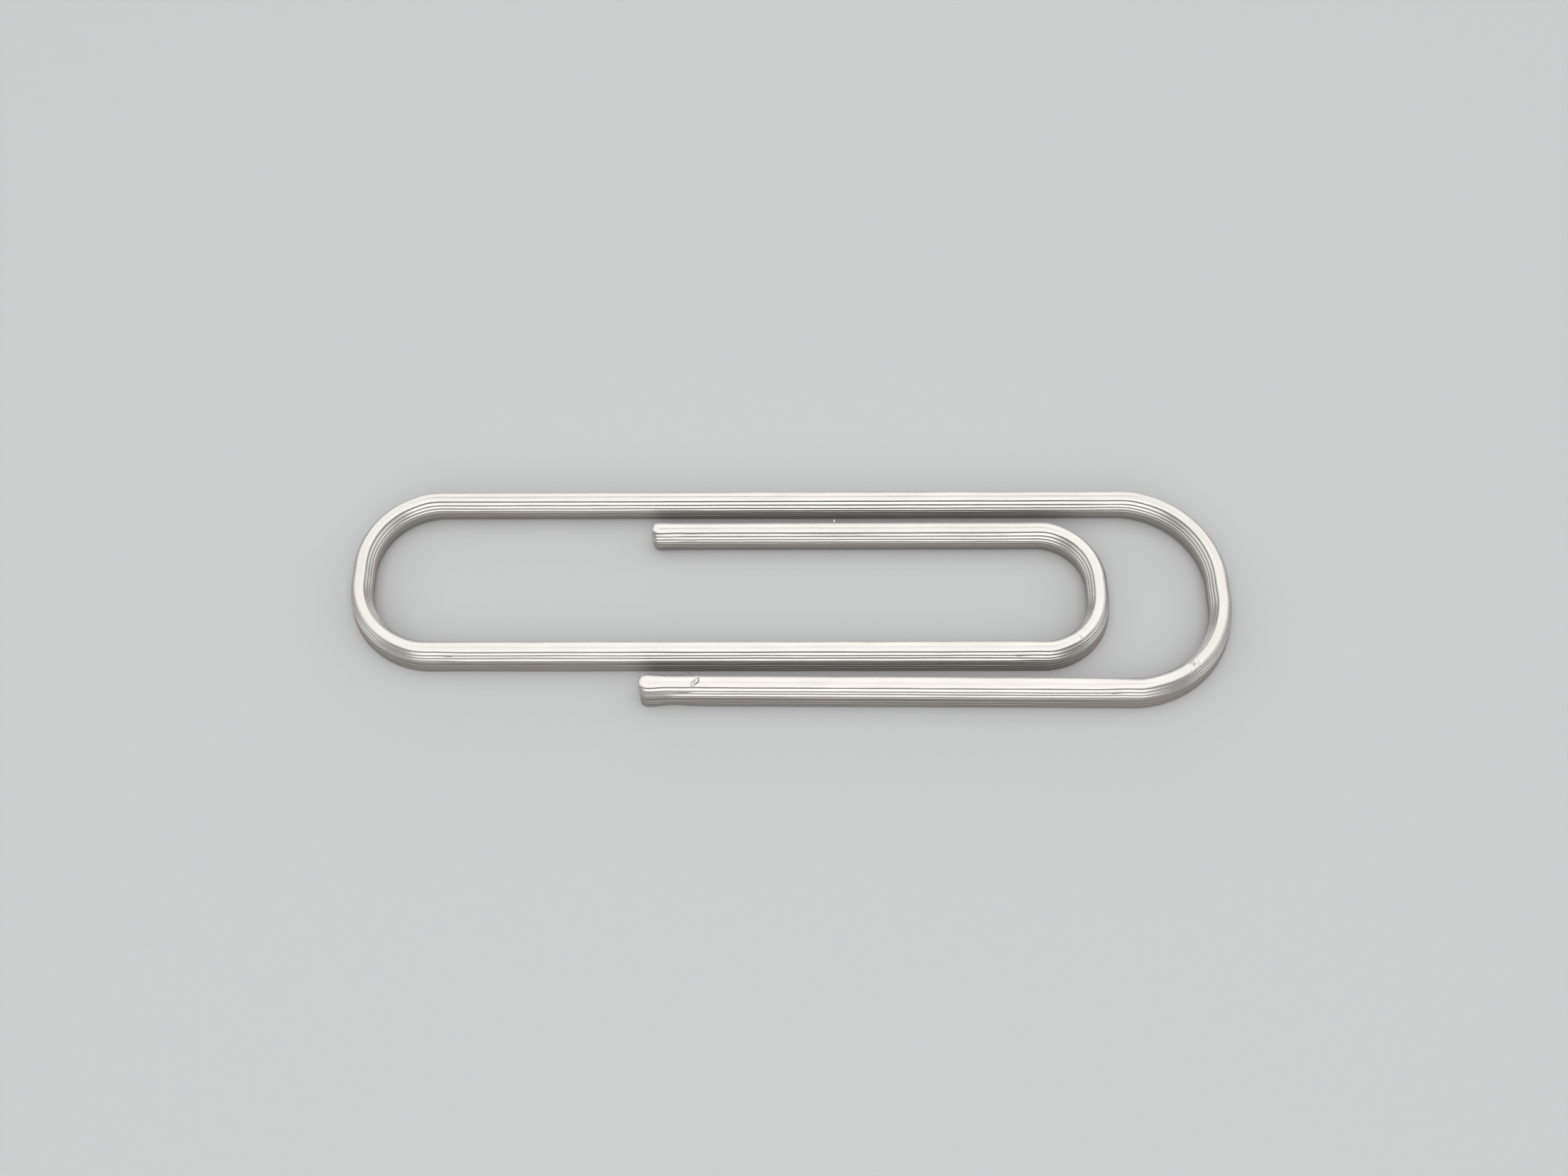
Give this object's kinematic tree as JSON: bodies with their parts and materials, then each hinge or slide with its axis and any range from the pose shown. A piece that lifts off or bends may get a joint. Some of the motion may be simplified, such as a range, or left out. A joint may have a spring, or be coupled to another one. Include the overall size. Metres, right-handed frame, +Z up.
{
  "type": "paper clip",
  "caption": "Flat spiral paper clip printed as one springy silver plastic strand, whose nested loops flex apart to grip the edge of a stack of sheets.",
  "frame": {"origin": "centre of the clip's footprint, on the surface that it lies on", "axes": "+X along the clip towards the end with the two nested bends, +Y from the front leg to the back leg, +Z up off the surface"},
  "size_m": [0.06, 0.0161, 0.0022],
  "materials": {
    "silver_plastic": "silky silver, with fine layer lines along the strand"
  },
  "bodies": {
    "outer_loop": {"back_leg": "silver_plastic", "outer_bend": "silver_plastic", "end_bend": "silver_plastic"},
    "inner_loop": {"inner_leg": "silver_plastic", "inner_bend": "silver_plastic"},
    "front_leg": {"front_leg": "silver_plastic"},
    "tongue": {"tongue_leg": "silver_plastic"}
  },
  "joints": [
    {"name": "inner_loop_lift", "type": "hinge", "parent": "outer_loop", "child": "inner_loop", "pos_m": [-0.02923, 0.00137, 0.0011], "axis": [0, -1, 0], "range_deg": [0, 12], "stiffness_Nm_per_rad": 0.13, "deforming": ["end_bend"]},
    {"name": "front_leg_flex", "type": "hinge", "parent": "outer_loop", "child": "front_leg", "pos_m": [0.02923, 0, 0.0011], "axis": [0, 1, 0], "range_deg": [0, 9], "stiffness_Nm_per_rad": 0.2, "deforming": ["outer_bend"]},
    {"name": "tongue_flex", "type": "hinge", "parent": "inner_loop", "child": "tongue", "pos_m": [0.02102, 0.00013, 0.0011], "axis": [0, 1, 0], "range_deg": [0, 8], "stiffness_Nm_per_rad": 0.27, "deforming": ["inner_bend"]}
  ]
}
